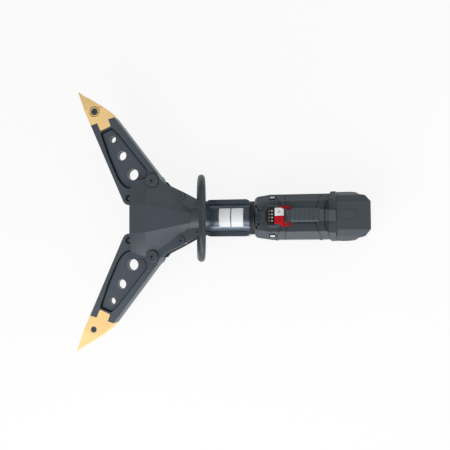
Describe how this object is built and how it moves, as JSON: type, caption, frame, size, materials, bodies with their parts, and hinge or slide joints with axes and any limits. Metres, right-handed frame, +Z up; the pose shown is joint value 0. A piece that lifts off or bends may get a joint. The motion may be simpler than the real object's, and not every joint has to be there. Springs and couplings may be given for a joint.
{
  "type": "cordless rescue spreader",
  "caption": "Battery rescue spreader: two hinged arms with gold tips, hooded pivot plates, carrying ring, cylinder block and a rear unit with loop handle.",
  "frame": {"origin": "centre of the tool's bounding box with the arms fully open: on the tool's axis in Y and at the height of the arms' middle plane", "axes": "+X along the tool from the tips to the battery, +Y towards the right arm, +Z up out of the handle and the panel"},
  "size_m": [0.8939, 0.8136, 0.2316],
  "materials": {
    "arm_metal": "dark grey anodised, satin",
    "black_steel": "blackened steel",
    "block_grey": "dark grey anodised, half gloss",
    "board": "green board",
    "bronze": "plain bronze",
    "cell": "wrapped cell",
    "chrome": "polished rod",
    "copper": "enamelled copper",
    "cover_grey": "slate grey, satin",
    "grip": "dark grey soft cover",
    "housing": "slate grey, fine grain",
    "housing_dark": "near black, matt",
    "lamp": "clear window",
    "light": "milky white",
    "motor": "dark can",
    "oil_bag": "black bladder",
    "panel": "near black, half gloss",
    "red": "red, satin",
    "ring_grey": "dark slate, powder coated",
    "seal": "black seal",
    "steel": "ground steel",
    "tip_gold": "warm pale gold, satin",
    "white": "white, satin"
  },
  "bodies": {
    "frame": {"carry_ring": "ring_grey", "circuit_board": "board", "control_valve": "steel", "cover_bolts": "black_steel", "cover_screws": "black_steel", "cover_spacers": "steel", "cylinder_block": "block_grey", "grip_cover": "grip", "housing_screws": "black_steel", "indicator_lights": "light", "indicator_panel": "panel", "lamp_windows": "lamp", "left_shell": "housing", "lock_ring": "black_steel", "lower_cover": "cover_grey", "motor_bearings": "chrome", "motor_case": "motor", "motor_stator": "copper", "neck_collar": "housing_dark", "nose_cover": "housing", "oil_reservoir": "oil_bag", "pivot_bolts": "black_steel", "pivot_nuts": "black_steel", "pump_body": "steel", "pump_plungers": "chrome", "rear_collar": "housing", "right_shell": "housing", "ring_screws": "black_steel", "rod_gland": "bronze", "rod_seal": "seal", "upper_cover": "cover_grey"},
    "right_arm": {"right_arm": "arm_metal", "right_tip": "tip_gold", "right_pivot_bush": "bronze", "right_link_pin": "steel"},
    "right_lock_pin": {"right_tip_lock_pin": "black_steel"},
    "right_link": {"right_link": "steel", "right_cross_pin": "steel"},
    "right_latch": {"right_battery_latch": "housing_dark"},
    "left_arm": {"left_arm": "arm_metal", "left_tip": "tip_gold", "left_pivot_bush": "bronze", "left_link_pin": "steel"},
    "left_lock_pin": {"left_tip_lock_pin": "black_steel"},
    "left_link": {"left_link": "steel", "left_cross_pin": "steel"},
    "left_latch": {"left_battery_latch": "housing_dark"},
    "ram": {"crosshead": "steel", "piston_rod": "chrome", "piston": "steel", "piston_seal": "seal"},
    "control": {"control_lever": "red", "control_shaft": "steel", "lever_spring": "steel"},
    "light_button": {"light_button": "white"},
    "power_button": {"power_button": "red"},
    "rotor": {"motor_rotor": "steel"},
    "battery": {"battery_case": "housing", "battery_front": "housing_dark", "battery_cells": "cell"}
  },
  "joints": [
    {"name": "right_arm_swing", "type": "hinge", "parent": "frame", "child": "right_arm", "pos_m": [-0.19598, 0.115, 0], "axis": [0, 0, 1], "range_deg": [0, 66.5]},
    {"name": "left_arm_swing", "type": "hinge", "parent": "frame", "child": "left_arm", "pos_m": [-0.19598, -0.115, 0], "axis": [0, 0, 1], "range_deg": [-66.5, 0]},
    {"name": "ram_slide", "type": "slide", "parent": "frame", "child": "ram", "axis": [1, 0, 0], "range_m": [0, 0.09963]},
    {"name": "right_link_fold", "type": "hinge", "parent": "right_arm", "child": "right_link", "pos_m": [-0.27427, 0.0646, 0], "axis": [0, 0, 1], "range_deg": [-34, 0]},
    {"name": "left_link_fold", "type": "hinge", "parent": "left_arm", "child": "left_link", "pos_m": [-0.27427, -0.0646, 0], "axis": [0, 0, 1], "range_deg": [0, 34]},
    {"name": "right_tip_lock", "type": "hinge", "parent": "right_arm", "child": "right_lock_pin", "pos_m": [-0.38649, 0.33748, 0], "axis": [0, 0, 1], "range_deg": [0, 90]},
    {"name": "left_tip_lock", "type": "hinge", "parent": "left_arm", "child": "left_lock_pin", "pos_m": [-0.38649, -0.33748, 0], "axis": [0, 0, 1], "range_deg": [-90, 0]},
    {"name": "control_turn", "type": "hinge", "parent": "frame", "child": "control", "pos_m": [0.19702, 0, 0.062], "axis": [1, 0, 0], "range_deg": [-12, 12], "stiffness_Nm_per_rad": 0.25},
    {"name": "light_button_press", "type": "slide", "parent": "frame", "child": "light_button", "axis": [0, 0, -1], "range_m": [0, 0.0015], "stiffness_N_per_m": 600, "springref_m": -0.0008},
    {"name": "power_button_press", "type": "slide", "parent": "frame", "child": "power_button", "axis": [0, 0, -1], "range_m": [0, 0.0015], "stiffness_N_per_m": 600, "springref_m": -0.0008},
    {"name": "motor_spin", "type": "hinge", "parent": "frame", "child": "rotor", "pos_m": [0.23402, 0, -0.016], "axis": [1, 0, 0], "continuous": true},
    {"name": "battery_slide", "type": "slide", "parent": "frame", "child": "battery", "axis": [1, 0, 0], "range_m": [0, 0.11]},
    {"name": "right_latch_press", "type": "slide", "parent": "battery", "child": "right_latch", "axis": [0, -1, 0], "range_m": [0, 0.004], "stiffness_N_per_m": 700, "springref_m": -0.001},
    {"name": "left_latch_press", "type": "slide", "parent": "battery", "child": "left_latch", "axis": [0, 1, 0], "range_m": [0, 0.004], "stiffness_N_per_m": 700, "springref_m": -0.001}
  ],
  "couplings": [
    {"joint": "left_arm_swing", "follows": "right_arm_swing", "ratio": -1},
    {"joint": "ram_slide", "follows": "right_arm_swing", "m_per_rad": 0.085833},
    {"joint": "right_link_fold", "follows": "right_arm_swing", "ratio": -0.51123},
    {"joint": "left_link_fold", "follows": "right_arm_swing", "ratio": 0.51123}
  ]
}
